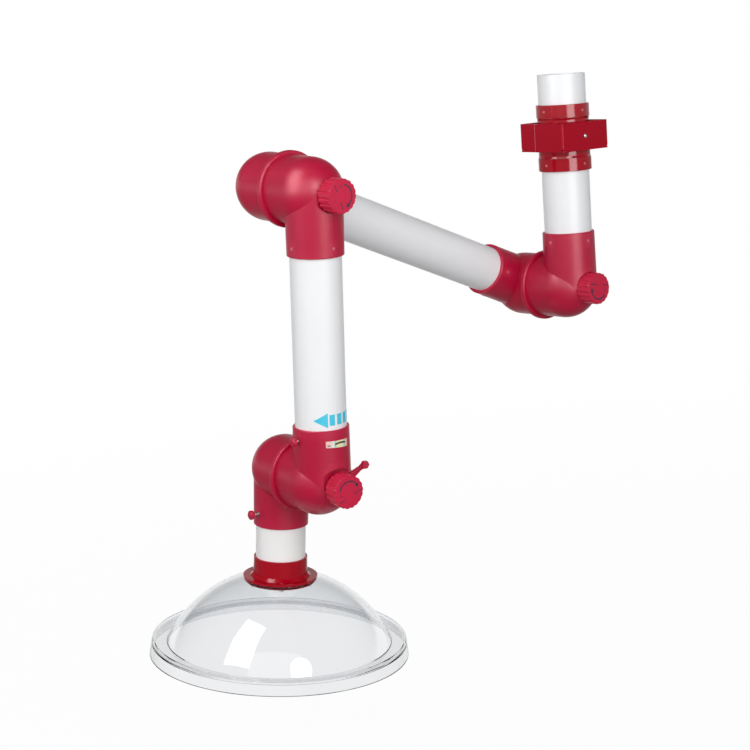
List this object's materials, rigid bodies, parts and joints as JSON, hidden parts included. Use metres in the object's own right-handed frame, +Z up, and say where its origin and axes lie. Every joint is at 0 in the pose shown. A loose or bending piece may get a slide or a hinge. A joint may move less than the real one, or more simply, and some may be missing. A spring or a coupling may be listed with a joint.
{
  "type": "local extraction arm",
  "caption": "Jointed extraction arm with lacquered tubes, friction elbows with hand knobs, a swivelling wall bracket, a wrist damper and a clear dome hood",
  "frame": {"origin": "centre of the bracket's wall face, between its four bolt holes", "axes": "+X out of the wall, +Z up along the column tube, the arm reaches out along -Y and is swivelled 3.5 degrees about +Z"},
  "size_m": [0.4229, 0.7755, 0.8548],
  "materials": {
    "red_plastic": "satin, slightly grained moulding",
    "red_gloss": "glossy",
    "red_steel": "glossy powder coat on bent sheet",
    "red_screw": "painted screw heads",
    "dark_plastic": "matt",
    "white_lacquer": "semi-gloss lacquer on aluminium tube",
    "zinc_steel": "zinc plated",
    "aluminium_sheet": "plain sheet",
    "friction_lining": "matt",
    "brass_insert": "machined",
    "blue_print": "printed film",
    "label_film": "printed film",
    "gasket_rubber": "matt",
    "clear_plastic": "clear thermoformed sheet"
  },
  "bodies": {
    "bracket": {"bracket_back": "red_steel", "bracket_front": "red_steel", "bearing_block": "dark_plastic", "swivel_bush": "red_gloss", "lock_screw": "zinc_steel"},
    "column": {"column_tube": "white_lacquer", "upper_collar": "red_gloss", "lower_collar": "red_gloss", "collar_screws": "red_screw", "shoulder_near_shell": "red_plastic", "shoulder_near_screws": "red_screw", "shoulder_springs": "zinc_steel", "shoulder_washer": "zinc_steel"},
    "arm": {"shoulder_far_shell": "red_plastic", "shoulder_far_screws": "red_screw", "shoulder_disc": "friction_lining", "shoulder_spindle": "zinc_steel", "arm_tube": "white_lacquer", "elbow_far_shell": "red_plastic", "elbow_far_screws": "red_screw", "elbow_disc": "friction_lining", "elbow_spindle": "zinc_steel"},
    "shoulder_hand_knob": {"shoulder_knob": "red_plastic", "shoulder_knob_nut": "zinc_steel"},
    "elbow_hand_knob": {"elbow_knob": "red_plastic", "elbow_knob_nut": "zinc_steel"},
    "forearm": {"elbow_near_shell": "red_plastic", "elbow_near_screws": "red_screw", "elbow_springs": "zinc_steel", "elbow_washer": "zinc_steel", "forearm_tube": "white_lacquer", "flow_mark": "blue_print"},
    "wrist_upper": {"wrist_near_shell": "red_plastic", "wrist_label": "label_film", "upper_insert": "brass_insert"},
    "upper_thumb": {"upper_thumb_stud": "zinc_steel", "upper_thumb_head": "red_plastic"},
    "damper": {"damper_shaft": "zinc_steel", "damper_disc": "aluminium_sheet", "damper_lever": "red_plastic", "damper_rivets": "zinc_steel"},
    "wrist_lower": {"wrist_far_shell": "red_plastic", "wrist_disc": "friction_lining", "wrist_spindle": "zinc_steel", "lower_insert": "brass_insert"},
    "lower_thumb": {"lower_thumb_stud": "zinc_steel", "lower_thumb_head": "red_plastic"},
    "wrist_hand_knob": {"wrist_knob": "red_plastic", "wrist_knob_nut": "zinc_steel", "wrist_springs": "zinc_steel", "wrist_washer": "zinc_steel"},
    "hood": {"hood_tube": "white_lacquer", "hood_collar": "red_gloss", "hood_gasket": "gasket_rubber", "hood_dome": "clear_plastic", "hood_clamp_ring": "red_gloss", "hood_screws": "zinc_steel"}
  },
  "joints": [
    {"name": "column_swivel", "type": "hinge", "parent": "bracket", "child": "column", "pos_m": [0.05, 0, 0], "axis": [0, 0, 1], "range_deg": [-175, 175]},
    {"name": "shoulder_hinge", "type": "hinge", "parent": "column", "child": "arm", "pos_m": [0.05, 0, -0.24], "axis": [0.9981, 0.061, 0], "range_deg": [-50, 50]},
    {"name": "shoulder_knob_turn", "type": "hinge", "parent": "arm", "child": "shoulder_hand_knob", "pos_m": [0.09991, 0.00305, -0.24], "axis": [0.9981, 0.061, 0], "continuous": true},
    {"name": "elbow_hinge", "type": "hinge", "parent": "arm", "child": "forearm", "pos_m": [0.0811, -0.51295, -0.03559], "axis": [0.9973, 0.0343, -0.0644], "range_deg": [-50, 48]},
    {"name": "elbow_knob_turn", "type": "hinge", "parent": "arm", "child": "elbow_hand_knob", "pos_m": [0.13097, -0.51124, -0.03882], "axis": [0.9973, 0.0343, -0.0644], "continuous": true},
    {"name": "wrist_turn", "type": "hinge", "parent": "forearm", "child": "wrist_upper", "pos_m": [0.05384, -0.51426, -0.45821], "axis": [-0.0644, -0.0031, -0.9979], "range_deg": [-170, 170]},
    {"name": "upper_thumb_turn", "type": "hinge", "parent": "wrist_upper", "child": "upper_thumb", "pos_m": [0.05608, -0.559, -0.39008], "axis": [-0.0475, -0.9989, 0.0061], "continuous": true},
    {"name": "damper_turn", "type": "hinge", "parent": "wrist_upper", "child": "damper", "pos_m": [0.05384, -0.51426, -0.45821], "axis": [0.9968, -0.0478, -0.0642], "range_deg": [-90, 0]},
    {"name": "wrist_hinge", "type": "hinge", "parent": "wrist_upper", "child": "wrist_lower", "pos_m": [0.05384, -0.51426, -0.45821], "axis": [0.9968, -0.0478, -0.0642], "range_deg": [-80, 80]},
    {"name": "wrist_knob_turn", "type": "hinge", "parent": "wrist_lower", "child": "wrist_hand_knob", "pos_m": [0.10368, -0.51664, -0.46142], "axis": [0.9968, -0.0478, -0.0642], "continuous": true},
    {"name": "lower_thumb_turn", "type": "hinge", "parent": "wrist_lower", "child": "lower_thumb", "pos_m": [-0.06443, -0.55775, -0.51755], "axis": [-0.0439, -0.9972, 0.0601], "continuous": true},
    {"name": "hood_turn", "type": "hinge", "parent": "wrist_lower", "child": "hood", "pos_m": [-0.06783, -0.51747, -0.60045], "axis": [-0.0669, -0.0571, -0.9961], "continuous": true}
  ]
}
